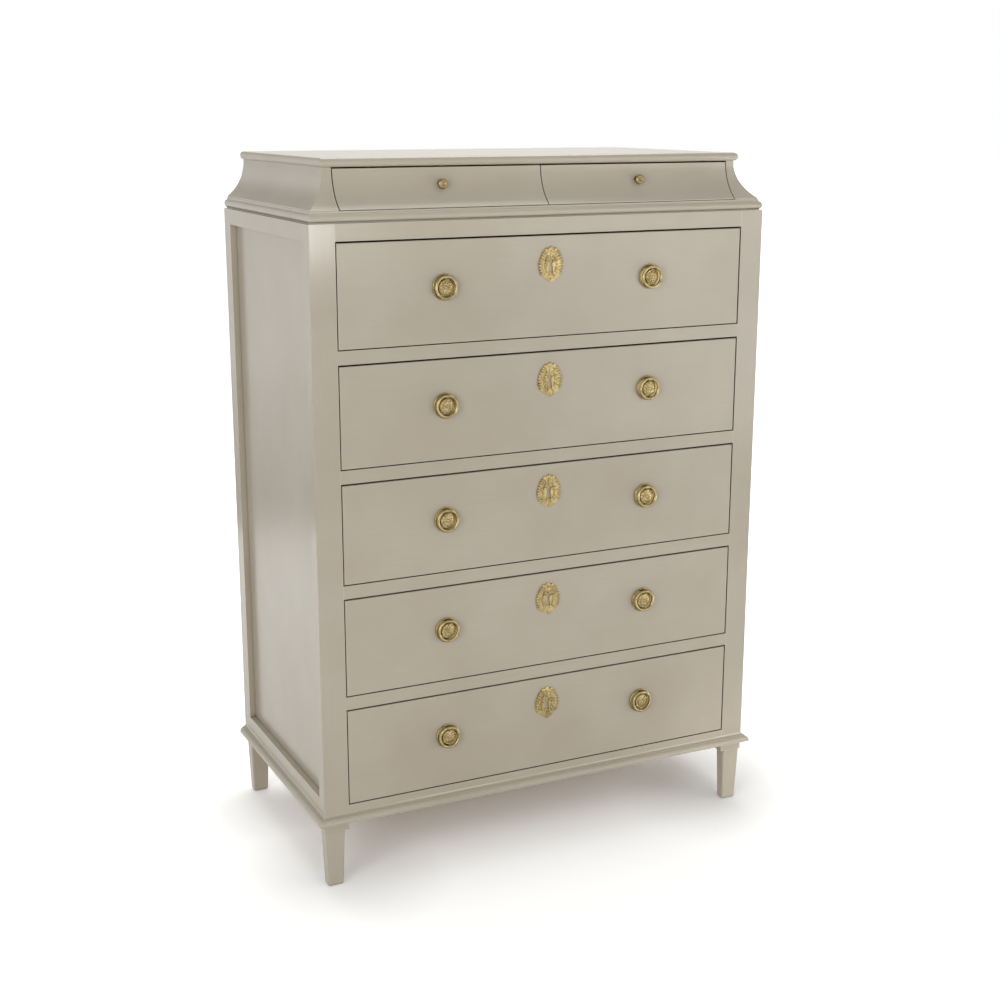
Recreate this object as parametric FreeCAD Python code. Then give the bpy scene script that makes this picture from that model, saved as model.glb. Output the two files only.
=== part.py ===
import FreeCAD, Part
import math
import os

# A tall painted chest: a panelled case on tapered feet with long drawers, and above a waist
# moulding a coved stage that holds two small drawers under the top board.
# Millimetres. While a piece is drawn, x runs across the chest from its middle, y runs back from
# the face of the case, and z runs up from the floor.

Vector = FreeCAD.Vector
RIGHT = Vector(1, 0, 0)
BACK = Vector(0, 1, 0)
UP = Vector(0, 0, 1)

# Heights, from the floor up
FOOT_HEIGHT = 110.0
FOOT_BLOCK_HEIGHT = 18.0
BOTTOM_RAIL_HEIGHT = 30.0
OPENING_HEIGHT = 183.0
RAIL_HEIGHT = 24.0
TOP_RAIL_HEIGHT = 29.0
WAIST_HEIGHT = 20.0
COVE_HEIGHT = 70.0
TOP_THICKNESS = 15.0
DRAWER_COUNT = 5

# Case
CASE_WIDTH = 900.0
CASE_DEPTH = 485.0
STILE_WIDTH = 47.0
STILE_THICKNESS = 25.0
RAIL_DEPTH = 60.0
BACK_STILE_WIDTH = 37.0
BACK_STILE_THICKNESS = 40.0
SIDE_RAIL_THICKNESS = 28.0
SIDE_BOTTOM_RAIL_HEIGHT = 44.0
BACK_RAIL_HEIGHT = 60.0
BACK_RAIL_THICKNESS = 22.0
CASE_EDGE_RADIUS = 1.6
TENON_LENGTH = 14.0
TENON_THICKNESS = 10.0
TENON_SHOULDER = 4.0

# Panels
PANEL_RECESS = 12.0
PANEL_THICKNESS = 8.0
PANEL_TONGUE = 8.0
BACK_PANEL_THICKNESS = 8.0
BACK_PANEL_LAP = 15.0
UPPER_BACK_LAP = 8.0

# Screws that hold the backs
BACK_SCREW_ROWS = 5
BACK_SCREW_RADIUS = 1.8
BACK_SCREW_HEAD_RADIUS = 3.6
BACK_SCREW_HEAD_DEPTH = 2.4
BACK_SCREW_LENGTH = 20.0
BACK_SCREW_END_DISTANCE = 40.0

# Feet
FOOT_SETBACK = 1.0
FOOT_BLOCK_WIDTH = 46.0
FOOT_BLOCK_DEPTH = 36.0
LEG_INSET = 1.5
LEG_WIDTH = 37.0
LEG_DEPTH = 26.0
TOE_WIDTH = 30.0
TOE_DEPTH = 20.0
TOE_ROUNDING = 5.0
TOE_STEPS = 4
LEG_ARRIS = 2.0
SPIGOT_RADIUS = 5.0
SPIGOT_LENGTH = 36.0

# Base moulding: a hollow over a rounded slope that ends in a thin lip
BASE_PROJECTION = 12.0
BASE_HEIGHT = 17.0
BASE_LIP = 2.5
BASE_HOLLOW = 5.0
BASE_STEP = 1.2
BASE_ROUNDING = 1.2

# Waist moulding: a bead between two quirks, under a thin fillet
WAIST_DEPTH = 20.0
WAIST_BEAD_SETBACK = 1.0
WAIST_QUIRK_SETBACK = 5.0
WAIST_QUIRK_HEIGHT = 2.0
WAIST_FILLET_SETBACK = 6.5
WAIST_FILLET_HEIGHT = 4.0

# Coved stage and top board
COVE_FOOT_SETBACK = 8.0
COVE_TOP_SETBACK = 42.0
COVE_LAND = 2.5
CHEEK_INSET = 58.0
DIVIDER_THICKNESS = 12.0
UPPER_BACK_THICKNESS = 12.0
TOP_SETBACK = 36.0
TOP_EDGE_RADIUS = 7.0

# Runners, guides and stops
RUNNER_BEARING = 20.0
RUNNER_TENON = 10.0
GUIDE_HEIGHT = 30.0
STOP_WIDTH = 40.0
STOP_DEPTH = 20.0
STOP_HEIGHT = 8.0
STOP_SPACING = 500.0

# Drawers
FRONT_THICKNESS = 22.0
SIDE_THICKNESS = 12.0
SIDE_HEIGHT = 150.0
SIDE_TAILS = 5
BOTTOM_THICKNESS = 6.0
BOTTOM_LIFT = 12.0
BOTTOM_TONGUE = 6.0
DRAWER_BACK_INSET = 10.0
DRAWER_BACK_DROP = 10.0
TAIL_LENGTH = 14.0
TAIL_WIDTH = 16.0
TAIL_FLARE = 2.0
FRONT_EDGE_RADIUS = 1.6
SMALL_FRONT_THICKNESS = 18.0
SMALL_SIDE_HEIGHT = 50.0
SMALL_SIDE_TAILS = 2

# Clearances
TOP_GAP = 3.0
BOTTOM_GAP = 1.5
SIDE_GAP = 2.0
REAR_GAP = 10.0
SMALL_TOP_GAP = 2.5
SMALL_BOTTOM_GAP = 1.0
MIDDLE_GAP = 2.0
RUNNING_GAP = 0.3
PIN_CLEARANCE = 0.05

# Ring pulls
PULL_SPACING = 412.0
PULL_RISE = 8.0
PLATE_RADIUS = 23.2
PLATE_THICKNESS = 1.4
RIM_WIDTH = 2.6
RIM_HEIGHT = 3.0
BOSS_RADIUS = 13.5
BOSS_WALL = 7.0
BOSS_HEIGHT = 9.5
RING_RADIUS = 18.9
RING_WIRE_RADIUS = 2.6
RING_STANDOFF = 8.8
RING_PIN_RADIUS = 1.5
RING_PIN_SEAT = 1.0
KNUCKLE_WIDTH = 10.0
KNUCKLE_RADIUS = 3.0
NECK_RADIUS = 2.6
BOLT_RADIUS = 2.0
BOLT_TIP = 2.0
NUT_SIDES = 6
NUT_RADIUS = 4.6
NUT_HEIGHT = 4.0

# Escutcheons
ESCUTCHEON_RISE = 38.5
ESCUTCHEON_WIDTH = 50.0
ESCUTCHEON_HEIGHT = 63.0
ESCUTCHEON_THICKNESS = 2.0
ESCUTCHEON_LOBES = 7
LOBE_DEPTH = 1.8
ESCUTCHEON_TAPER = 0.25
FIELD_ARCS = 12
FIELD_SIDE_MARGIN = 7.0
FIELD_END_MARGIN = 9.5
FIELD_HEIGHT = 1.6
KEYHOLE_RADIUS = 3.4
KEYHOLE_SLOT = 4.2
KEYHOLE_RISE = 7.0
KEYHOLE_LENGTH = 19.0
TACK_RADIUS = 0.9
TACK_HEAD_RADIUS = 1.8
TACK_HEAD_HEIGHT = 0.8
TACK_LENGTH = 10.0
TACK_MARGIN = 4.5

# Small knobs
KNOB_HEIGHT = 40.0
KNOB_RADIUS = 9.0
KNOB_NECK_RADIUS = 3.4
KNOB_FLANGE_RADIUS = 6.0
KNOB_FLANGE_THICKNESS = 2.0
KNOB_NECK_LENGTH = 5.0
KNOB_HEAD_LENGTH = 6.0
KNOB_DIMPLE_RADIUS = 5.0
KNOB_DIMPLE_DEPTH = 1.4

# Places that follow from the sizes
HALF_WIDTH = CASE_WIDTH / 2
CASE_BOTTOM = FOOT_HEIGHT + FOOT_BLOCK_HEIGHT
OPENING_BOTTOM = CASE_BOTTOM + BOTTOM_RAIL_HEIGHT
OPENING_PITCH = OPENING_HEIGHT + RAIL_HEIGHT
OPENING_TOP = OPENING_BOTTOM + DRAWER_COUNT * OPENING_PITCH - RAIL_HEIGHT
CASE_TOP = OPENING_TOP + TOP_RAIL_HEIGHT
DECK_TOP = CASE_TOP + WAIST_HEIGHT
COVE_TOP = DECK_TOP + COVE_HEIGHT
OPENING_HALF = HALF_WIDTH - STILE_WIDTH
SIDE_INNER = HALF_WIDTH - SIDE_RAIL_THICKNESS
BACK_STILE_INNER = HALF_WIDTH - BACK_STILE_THICKNESS
BACK_STILE_FACE = CASE_DEPTH - BACK_STILE_WIDTH
BACK_PANEL_FACE = CASE_DEPTH - BACK_PANEL_THICKNESS
CHEEK_INNER = HALF_WIDTH - CHEEK_INSET
UPPER_BACK_FACE = CASE_DEPTH - UPPER_BACK_THICKNESS
SMALL_FRONT_BACK = COVE_TOP_SETBACK + SMALL_FRONT_THICKNESS
FRONT_HALF = OPENING_HALF - SIDE_GAP
FRONT_TOP = OPENING_HEIGHT - TOP_GAP
FRONT_MIDDLE = (BOTTOM_GAP + FRONT_TOP) / 2
PULL_LEVEL = FRONT_MIDDLE + PULL_RISE
DRAWER_REAR = BACK_PANEL_FACE - BACK_RAIL_THICKNESS - REAR_GAP
SMALL_DRAWER_REAR = UPPER_BACK_FACE - REAR_GAP
RING_GAP = KNUCKLE_WIDTH + 2 * RUNNING_GAP
PIN_RISE = math.sqrt(RING_RADIUS ** 2 - (RING_GAP / 2) ** 2)
# The origin stands on the floor, midway between the lip of the base moulding and the back
ORIGIN = Vector(0, (CASE_DEPTH - BASE_PROJECTION) / 2, 0)


def box(x0, x1, y0, y1, z0, z1):
    """A board between two corners."""
    return Part.makeBox(x1 - x0, y1 - y0, z1 - z0, Vector(x0, y0, z0))


def mirrored(shape):
    """The same piece on the other side of the chest."""
    return shape.mirror(Vector(0, 0, 0), RIGHT)


def both_sides(shapes):
    """Pieces of the right side and their mirror images."""
    return shapes + [mirrored(shape) for shape in shapes]


def cut_by(shape, others):
    """A piece with room cut in it for what it holds."""
    return shape.cut(Part.makeCompound(others))


def face_of(place, start, *steps):
    """A flat face whose outline goes by lines, one point, or arcs, a middle point and an end."""
    edges = []
    here = place(*start)
    closing = () if steps[-1][-1] == start else ((start,),)
    for step in steps + closing:
        points = [place(*point) for point in step]
        if len(points) == 1:
            edges.append(Part.LineSegment(here, points[0]).toShape())
        else:
            edges.append(Part.Arc(here, points[0], points[1]).toShape())
        here = points[-1]
    return Part.Face(Part.Wire(edges))


def front_section(out, up):
    """A point of a section across the front, at a distance out from the case's face."""
    return Vector(0, -out, up)


def side_section(out, up):
    """A point of a section across the right side, at a distance out from the case's side."""
    return Vector(HALF_WIDTH + out, 0, up)


def swept(face, direction, start, end):
    """A face drawn out along a direction between two places."""
    return face.translated(direction * start).extrude(direction * (end - start))


def polygon(corners):
    """A flat face with straight sides."""
    return Part.Face(Part.makePolygon(corners + corners[:1]))


def plan_prism(points, top):
    """An upright block on a plan outline, from the floor to a height."""
    return polygon([Vector(x, y, 0) for x, y in points]).extrude(UP * top)


def turned(place, start, *steps):
    """A piece turned about the line out = 0, straight out from the front."""
    return face_of(place, start, *steps).revolve(Vector(0, 0, 0), BACK, 360)


def turning_section(radius, out):
    """A point of a turned piece's half section."""
    return Vector(radius, -out, 0)


def save(node, shapes):
    """Writes one node, each of its pieces a separate solid."""
    solids = [solid for shape in shapes for solid in shape.Solids]
    whole = solids[0] if len(solids) == 1 else Part.makeCompound(solids)
    whole = whole.translated(ORIGIN * -1)
    whole.exportStep("parts/" + node + ".step")
    print(node, len(solids), round(whole.Volume), whole.isValid())


def opening_level(number):
    """Height of the rail that a long drawer, counted from the top, stands over."""
    return OPENING_BOTTOM + (DRAWER_COUNT - number) * OPENING_PITCH


# The case

def mitred(start, *steps):
    """Front, right and left lengths of one moulding, mitred at the front corners."""
    reach = WAIST_DEPTH + BASE_PROJECTION
    wide = HALF_WIDTH + reach
    narrow = HALF_WIDTH - reach
    front_corners = [(-wide, -reach), (wide, -reach), (narrow, reach), (-narrow, reach)]
    side_corners = [(wide, -reach), (wide, CASE_DEPTH), (narrow, CASE_DEPTH), (narrow, reach)]
    front_plan = plan_prism(front_corners, COVE_TOP)
    side_plan = plan_prism(side_corners, COVE_TOP)
    front = swept(face_of(front_section, start, *steps), RIGHT, -wide, wide).common(front_plan)
    side = swept(face_of(side_section, start, *steps), BACK, -reach, CASE_DEPTH).common(side_plan)
    return [front] + both_sides([side])


def base_moulding():
    """The moulding round the foot of the case."""
    lip_top = CASE_BOTTOM + BASE_LIP
    top = CASE_BOTTOM + BASE_HEIGHT
    shelf = top - BASE_HOLLOW
    edge = shelf - BASE_STEP
    hollow_middle = BASE_HOLLOW * (1 - math.sqrt(0.5))
    slope_middle = ((BASE_PROJECTION + BASE_HOLLOW) / 2 + BASE_ROUNDING, (lip_top + edge) / 2 + BASE_ROUNDING)
    return mitred(
        (0, CASE_BOTTOM),
        ((BASE_PROJECTION, CASE_BOTTOM),),
        ((BASE_PROJECTION, lip_top),),
        (slope_middle, (BASE_HOLLOW, edge)),
        ((BASE_HOLLOW, shelf),),
        ((hollow_middle, shelf + hollow_middle), (0, top)),
    )


def waist_moulding():
    """The bead and fillet between the case and the coved stage."""
    bead_bottom = CASE_TOP + WAIST_QUIRK_HEIGHT
    bead_top = DECK_TOP - WAIST_FILLET_HEIGHT
    bead_middle = (-WAIST_BEAD_SETBACK, (bead_bottom + bead_top) / 2)
    return mitred(
        (-WAIST_DEPTH, CASE_TOP),
        ((-WAIST_QUIRK_SETBACK, CASE_TOP),),
        ((-WAIST_QUIRK_SETBACK, bead_bottom),),
        (bead_middle, (-WAIST_QUIRK_SETBACK, bead_top)),
        ((-WAIST_FILLET_SETBACK, bead_top),),
        ((-WAIST_FILLET_SETBACK, DECK_TOP),),
        ((-WAIST_DEPTH, DECK_TOP),),
    )


def front_rail(bottom, top):
    """A rail between the front stiles, with a tenon at each end."""
    tenon_front = (STILE_THICKNESS - TENON_THICKNESS) / 2
    tenon_half = OPENING_HALF + TENON_LENGTH
    rail = box(-OPENING_HALF, OPENING_HALF, 0, RAIL_DEPTH, bottom, top)
    tenons = box(-tenon_half, tenon_half, tenon_front, tenon_front + TENON_THICKNESS,
                 bottom + TENON_SHOULDER, top - TENON_SHOULDER)
    return rail.fuse(tenons).removeSplitter()


def front_rails():
    """The bottom rail, the rails between the long drawers and the top rail."""
    rails = [front_rail(CASE_BOTTOM, OPENING_BOTTOM), front_rail(OPENING_TOP, CASE_TOP)]
    for number in range(1, DRAWER_COUNT):
        level = opening_level(number)
        rails.append(front_rail(level - RAIL_HEIGHT, level))
    return rails


def side_rail(bottom, top):
    """A rail of the right side, between the front and back stiles."""
    tenon_inner = SIDE_INNER + (SIDE_RAIL_THICKNESS - TENON_THICKNESS) / 2
    rail = box(SIDE_INNER, HALF_WIDTH, STILE_THICKNESS, BACK_STILE_FACE, bottom, top)
    tenons = box(tenon_inner, tenon_inner + TENON_THICKNESS,
                 STILE_THICKNESS - TENON_LENGTH, BACK_STILE_FACE + TENON_LENGTH,
                 bottom + TENON_SHOULDER, top - TENON_SHOULDER)
    return rail.fuse(tenons).removeSplitter()


def back_rail(bottom, top):
    """A rail across the back, behind the drawers."""
    face = BACK_PANEL_FACE - BACK_RAIL_THICKNESS
    tenon_face = face + (BACK_RAIL_THICKNESS - TENON_THICKNESS) / 2
    tenon_half = BACK_STILE_INNER + TENON_LENGTH
    rail = box(-BACK_STILE_INNER, BACK_STILE_INNER, face, BACK_PANEL_FACE, bottom, top)
    tenons = box(-tenon_half, tenon_half, tenon_face, tenon_face + TENON_THICKNESS,
                 bottom + TENON_SHOULDER, top - TENON_SHOULDER)
    return rail.fuse(tenons).removeSplitter()


def side_panel():
    """The right side's sunk panel, with its edges in the grooves of the frame."""
    outer = HALF_WIDTH - PANEL_RECESS
    return box(outer - PANEL_THICKNESS, outer,
               STILE_THICKNESS - PANEL_TONGUE, BACK_STILE_FACE + PANEL_TONGUE,
               CASE_BOTTOM + SIDE_BOTTOM_RAIL_HEIGHT - PANEL_TONGUE, OPENING_TOP + PANEL_TONGUE)


def front_stile():
    """The right front stile, with its outer corner eased."""
    stile = box(OPENING_HALF, HALF_WIDTH, 0, STILE_THICKNESS, CASE_BOTTOM, CASE_TOP)
    corner = [edge for edge in stile.Edges
              if edge.BoundBox.XMin > HALF_WIDTH - CASE_EDGE_RADIUS
              and edge.BoundBox.YMax < CASE_EDGE_RADIUS
              and edge.BoundBox.ZLength > CASE_EDGE_RADIUS]
    return stile.makeFillet(CASE_EDGE_RADIUS, corner)


def leg_outline(level, inset):
    """A leg's outline at a height: a tapered rectangle with its arrises cut off, drawn in by an inset."""
    rise = level / FOOT_HEIGHT
    half_width = (TOE_WIDTH + (LEG_WIDTH - TOE_WIDTH) * rise) / 2 - inset
    half_depth = (TOE_DEPTH + (LEG_DEPTH - TOE_DEPTH) * rise) / 2 - inset
    corners = []
    for dx, dy in ((-1, -1), (1, -1), (1, 1), (-1, 1)):
        on_side = Vector(dx * half_width, dy * (half_depth - LEG_ARRIS), level)
        on_face = Vector(dx * (half_width - LEG_ARRIS), dy * half_depth, level)
        corners += [on_side, on_face] if dx == dy else [on_face, on_side]
    return Part.makePolygon(corners + corners[:1])


def leg():
    """A tapered leg with a rounded toe, about its middle line."""
    outlines = []
    for step in range(TOE_STEPS + 1):
        turn = math.pi / 2 * step / TOE_STEPS
        outlines.append(leg_outline(TOE_ROUNDING * (1 - math.cos(turn)), TOE_ROUNDING * (1 - math.sin(turn))))
    outlines.append(leg_outline(FOOT_HEIGHT, 0))
    return Part.makeLoft(outlines, True, True)


def foot():
    """The right front foot: a block over a leg that stands towards its outer corner."""
    outer = HALF_WIDTH - FOOT_SETBACK
    block = box(outer - FOOT_BLOCK_WIDTH, outer, FOOT_SETBACK, FOOT_SETBACK + FOOT_BLOCK_DEPTH,
                FOOT_HEIGHT, CASE_BOTTOM)
    middle = Vector(outer - LEG_INSET - LEG_WIDTH / 2, FOOT_SETBACK + LEG_INSET + LEG_DEPTH / 2, 0)
    return block.fuse(leg().translated(middle))


def spigot(x, y):
    """A round spigot on a foot, up into its stile."""
    return Part.makeCylinder(SPIGOT_RADIUS, SPIGOT_LENGTH, Vector(x, y, CASE_BOTTOM), UP)


def feet():
    """Front and back feet of both sides, each with its spigot."""
    front = foot()
    back = front.mirror(Vector(0, CASE_DEPTH / 2, 0), BACK)
    front = front.fuse(spigot(HALF_WIDTH - STILE_WIDTH / 2, STILE_THICKNESS / 2))
    back = back.fuse(spigot(HALF_WIDTH - BACK_STILE_THICKNESS / 2, CASE_DEPTH - BACK_STILE_WIDTH / 2))
    return both_sides([front, back])


def runner(level):
    """A right runner, tenoned into the rail whose top it carries on to the back stile."""
    inner = OPENING_HALF - RUNNER_BEARING
    bar = box(inner, SIDE_INNER, RAIL_DEPTH, BACK_STILE_FACE, level - RAIL_HEIGHT, level)
    tenon = box(inner, OPENING_HALF - TENON_SHOULDER, RAIL_DEPTH - RUNNER_TENON, RAIL_DEPTH,
                level - RAIL_HEIGHT + TENON_SHOULDER, level - TENON_SHOULDER)
    return bar.fuse(tenon).removeSplitter()


def guide(level):
    """A right guide that keeps a drawer straight, on top of its runner."""
    return box(OPENING_HALF, SIDE_INNER, STILE_THICKNESS, BACK_STILE_FACE, level, level + GUIDE_HEIGHT)


def stop(level):
    """A right stop on the rail, which the back of a drawer front meets."""
    front = FRONT_THICKNESS + RUNNING_GAP
    middle = STOP_SPACING / 2
    return box(middle - STOP_WIDTH / 2, middle + STOP_WIDTH / 2, front, front + STOP_DEPTH,
               level, level + STOP_HEIGHT)


def back_screw(x, z):
    """A countersunk screw driven in flush from the back."""
    start = Vector(x, CASE_DEPTH, z)
    head = Part.makeCone(BACK_SCREW_HEAD_RADIUS, BACK_SCREW_RADIUS, BACK_SCREW_HEAD_DEPTH, start, BACK * -1)
    shank = Part.makeCylinder(BACK_SCREW_RADIUS, BACK_SCREW_LENGTH, start, BACK * -1)
    return head.fuse(shank).removeSplitter()


def back_screws():
    """Screws along both edges of the back panel and at the ends of the upper back."""
    panel_x = BACK_STILE_INNER + BACK_PANEL_LAP / 2
    low = CASE_BOTTOM + BACK_SCREW_END_DISTANCE
    spacing = (CASE_TOP - BACK_SCREW_END_DISTANCE - low) / (BACK_SCREW_ROWS - 1)
    screws = [back_screw(panel_x, low + row * spacing) for row in range(BACK_SCREW_ROWS)]
    screws.append(back_screw(CHEEK_INNER + UPPER_BACK_LAP / 2, (DECK_TOP + COVE_TOP) / 2))
    return both_sides(screws)


def build_case():
    """The panelled case that carries the long drawers."""
    rails = front_rails()
    levels = [opening_level(number) for number in range(1, DRAWER_COUNT + 1)]
    runners = both_sides([runner(level) for level in levels])
    panels = both_sides([side_panel()])
    side_rails = both_sides([
        side_rail(CASE_BOTTOM, CASE_BOTTOM + SIDE_BOTTOM_RAIL_HEIGHT),
        side_rail(OPENING_TOP, CASE_TOP),
    ])
    back_rails = [
        back_rail(CASE_BOTTOM, CASE_BOTTOM + BACK_RAIL_HEIGHT),
        back_rail(CASE_TOP - BACK_RAIL_HEIGHT, CASE_TOP),
    ]
    back_panel_half = BACK_STILE_INNER + BACK_PANEL_LAP
    back_panel = box(-back_panel_half, back_panel_half, BACK_PANEL_FACE, CASE_DEPTH, CASE_BOTTOM, CASE_TOP)
    back_stile = box(BACK_STILE_INNER, HALF_WIDTH, BACK_STILE_FACE, CASE_DEPTH, CASE_BOTTOM, CASE_TOP)
    upper_back_half = CHEEK_INNER + UPPER_BACK_LAP
    upper_back = box(-upper_back_half, upper_back_half, UPPER_BACK_FACE, CASE_DEPTH, DECK_TOP, COVE_TOP)
    legs = feet()
    screws = back_screws()
    held_by_stiles = rails + side_rails + back_rails + panels + legs + screws + [back_panel]
    save("front_rails", [cut_by(rail, runners + legs) for rail in rails])
    save("front_stiles", [cut_by(stile, held_by_stiles) for stile in both_sides([front_stile()])])
    save("back_stiles", [cut_by(stile, held_by_stiles) for stile in both_sides([back_stile])])
    save("frame_rails", [cut_by(rail, panels + legs + screws) for rail in side_rails + back_rails])
    save("side_panels", panels)
    save("back_panels", [cut_by(board, screws) for board in (back_panel, upper_back)])
    save("back_screws", screws)
    save("drawer_runners", runners)
    save("drawer_guides", both_sides([guide(level) for level in levels]))
    save("drawer_stops", both_sides([stop(level) for level in levels]))
    save("base_moulding", base_moulding())
    save("feet", legs)
    save("cove_cheeks", [cut_by(piece, screws + [upper_back]) for piece in both_sides([cove_cheek()])])


# The coved stage

def cove_face(place, inner):
    """Section of the stage, from its hollow face back to a plane behind the case's face."""
    arc_bottom = DECK_TOP + COVE_LAND
    rise = COVE_TOP - arc_bottom
    run = COVE_TOP_SETBACK - COVE_FOOT_SETBACK
    radius = (run ** 2 + rise ** 2) / (2 * run)
    half_turn = math.asin(rise / radius) / 2
    middle = (radius * (1 - math.cos(half_turn)) - COVE_TOP_SETBACK, COVE_TOP - radius * math.sin(half_turn))
    return face_of(
        place,
        (-inner, DECK_TOP),
        ((-COVE_FOOT_SETBACK, DECK_TOP),),
        ((-COVE_FOOT_SETBACK, arc_bottom),),
        (middle, (-COVE_TOP_SETBACK, COVE_TOP)),
        ((-inner, COVE_TOP),),
    )


def cove_cheek():
    """The right end of the stage, hollow on its side and on its front corner."""
    side = swept(cove_face(side_section, CHEEK_INSET), BACK, 0, CASE_DEPTH)
    front = swept(cove_face(front_section, CASE_DEPTH), RIGHT, 0, HALF_WIDTH)
    return side.common(front)


def top_board():
    """The top, with its front and side edges rounded over."""
    half = HALF_WIDTH - TOP_SETBACK
    top = COVE_TOP + TOP_THICKNESS
    board = box(-half, half, TOP_SETBACK, CASE_DEPTH, COVE_TOP, top)
    nosed = [edge for edge in board.Edges
             if edge.BoundBox.ZLength < TOP_EDGE_RADIUS and edge.BoundBox.YMin < CASE_DEPTH - TOP_EDGE_RADIUS]
    return board.makeFillet(TOP_EDGE_RADIUS, nosed)


def build_stage():
    """What stands on the case: deck, moulding, divider and top. The cheeks are saved with the backs."""
    deck_half = HALF_WIDTH - WAIST_DEPTH
    half_divider = DIVIDER_THICKNESS / 2
    divider_front = SMALL_FRONT_BACK + RUNNING_GAP
    save("upper_deck", [box(-deck_half, deck_half, WAIST_DEPTH, CASE_DEPTH, CASE_TOP, DECK_TOP)])
    save("waist_moulding", waist_moulding())
    divider = box(-half_divider, half_divider, divider_front, UPPER_BACK_FACE, DECK_TOP, COVE_TOP)
    save("upper_divider", [divider])
    save("top_board", [top_board()])


# Drawer boxes

def tail(x0, x1, face, middle):
    """One dovetail on the end of a drawer side, wider at its tip."""
    tip_half = TAIL_WIDTH / 2
    root_half = tip_half - TAIL_FLARE
    tip = face - TAIL_LENGTH
    corners = [
        Vector(x0, face, middle - root_half),
        Vector(x0, tip, middle - tip_half),
        Vector(x0, tip, middle + tip_half),
        Vector(x0, face, middle + root_half),
    ]
    return polygon(corners).extrude(RIGHT * (x1 - x0))


def drawer_side(x0, x1, face, rear, height, tails):
    """A drawer side, dovetailed at its front end."""
    board = box(x0, x1, face, rear, RUNNING_GAP, RUNNING_GAP + height)
    pitch = height / tails
    for number in range(tails):
        board = board.fuse(tail(x0, x1, face, RUNNING_GAP + pitch * (number + 0.5)))
    return board.removeSplitter()


def drawer_box(left, right, face, rear, height, tails):
    """Sides, back and bottom behind a drawer front, standing a running gap over the rail's level."""
    sides = [
        drawer_side(left, left + SIDE_THICKNESS, face, rear, height, tails),
        drawer_side(right - SIDE_THICKNESS, right, face, rear, height, tails),
    ]
    margin = SIDE_THICKNESS - BOTTOM_TONGUE
    low = RUNNING_GAP + BOTTOM_LIFT
    bottom = box(left + margin, right - margin, face - BOTTOM_TONGUE, rear, low, low + BOTTOM_THICKNESS)
    back_rear = rear - DRAWER_BACK_INSET
    back = box(left + margin, right - margin, back_rear - SIDE_THICKNESS, back_rear,
               low + BOTTOM_THICKNESS, RUNNING_GAP + height - DRAWER_BACK_DROP)
    return sides, back, bottom


# Ring pulls, modelled about the middle of the plate's back

def pull_plate():
    """The round back plate with its raised rim and middle boss."""
    rim_inner = PLATE_RADIUS - RIM_WIDTH
    dome_rise = BOSS_HEIGHT - BOSS_WALL
    dome_radius = (BOSS_RADIUS ** 2 + dome_rise ** 2) / (2 * dome_rise)
    half_turn = math.asin(BOSS_RADIUS / dome_radius) / 2
    dome_middle = (dome_radius * math.sin(half_turn), BOSS_HEIGHT - dome_radius * (1 - math.cos(half_turn)))
    return turned(
        turning_section,
        (0, 0),
        ((PLATE_RADIUS, 0),),
        ((PLATE_RADIUS, PLATE_THICKNESS),),
        ((PLATE_RADIUS - RIM_WIDTH / 2, RIM_HEIGHT), (rim_inner, PLATE_THICKNESS)),
        ((BOSS_RADIUS, PLATE_THICKNESS),),
        ((BOSS_RADIUS, BOSS_WALL),),
        (dome_middle, (0, BOSS_HEIGHT)),
    )


def bolt_hole():
    """The bolt's way through the drawer front."""
    length = PLATE_THICKNESS + FRONT_THICKNESS + NUT_HEIGHT + BOLT_TIP
    return Part.makeCylinder(BOLT_RADIUS, length, Vector(0, -PLATE_THICKNESS, PIN_RISE), BACK)


def pull_knuckle():
    """The eye that the ring hangs in, on a bolt through the plate and the drawer front."""
    eye_start = Vector(-KNUCKLE_WIDTH / 2, -RING_STANDOFF, PIN_RISE)
    eye = Part.makeCylinder(KNUCKLE_RADIUS, KNUCKLE_WIDTH, eye_start, RIGHT)
    neck_start = Vector(0, -RING_STANDOFF, PIN_RISE)
    neck = Part.makeCylinder(NECK_RADIUS, RING_STANDOFF - PLATE_THICKNESS, neck_start, BACK)
    bore = Part.makeCylinder(RING_PIN_RADIUS + PIN_CLEARANCE, KNUCKLE_WIDTH, eye_start, RIGHT)
    return eye.fuse(neck).fuse(bolt_hole()).cut(bore).removeSplitter()


def nut(seat, up, bolt):
    """A six-sided nut on a bolt, seated on the inner face of a drawer front."""
    corners = []
    for step in range(NUT_SIDES):
        turn = 2 * math.pi * step / NUT_SIDES
        corners.append(Vector(NUT_RADIUS * math.cos(turn), seat, up + NUT_RADIUS * math.sin(turn)))
    return polygon(corners).extrude(BACK * NUT_HEIGHT).cut(bolt)


def pull_ring():
    """The ring, open at the top, where a straight pin joins its ends."""
    centre = Vector(0, -RING_STANDOFF, 0)
    ring = Part.makeTorus(RING_RADIUS, RING_WIRE_RADIUS, centre, BACK)
    half_gap = RING_GAP / 2
    slot = box(-half_gap, half_gap, -2 * RING_STANDOFF, 0, 0, RING_RADIUS + 2 * RING_WIRE_RADIUS)
    pin_half = half_gap + RING_PIN_SEAT
    pin = Part.makeCylinder(RING_PIN_RADIUS, 2 * pin_half, Vector(-pin_half, -RING_STANDOFF, PIN_RISE), RIGHT)
    return ring.cut(slot).fuse(pin)


# Escutcheons, modelled about the middle of the plate's back

def shield_point(turn, side_margin, end_margin):
    """A point of the shield shape: an oval drawn in towards a point at its foot."""
    across = math.sin(turn)
    along = math.cos(turn)
    taper = 1 - ESCUTCHEON_TAPER * max(0, -along) ** 2
    half_width = ESCUTCHEON_WIDTH / 2 - side_margin
    half_height = ESCUTCHEON_HEIGHT / 2 - end_margin
    return half_width * across * taper, half_height * along


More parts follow.
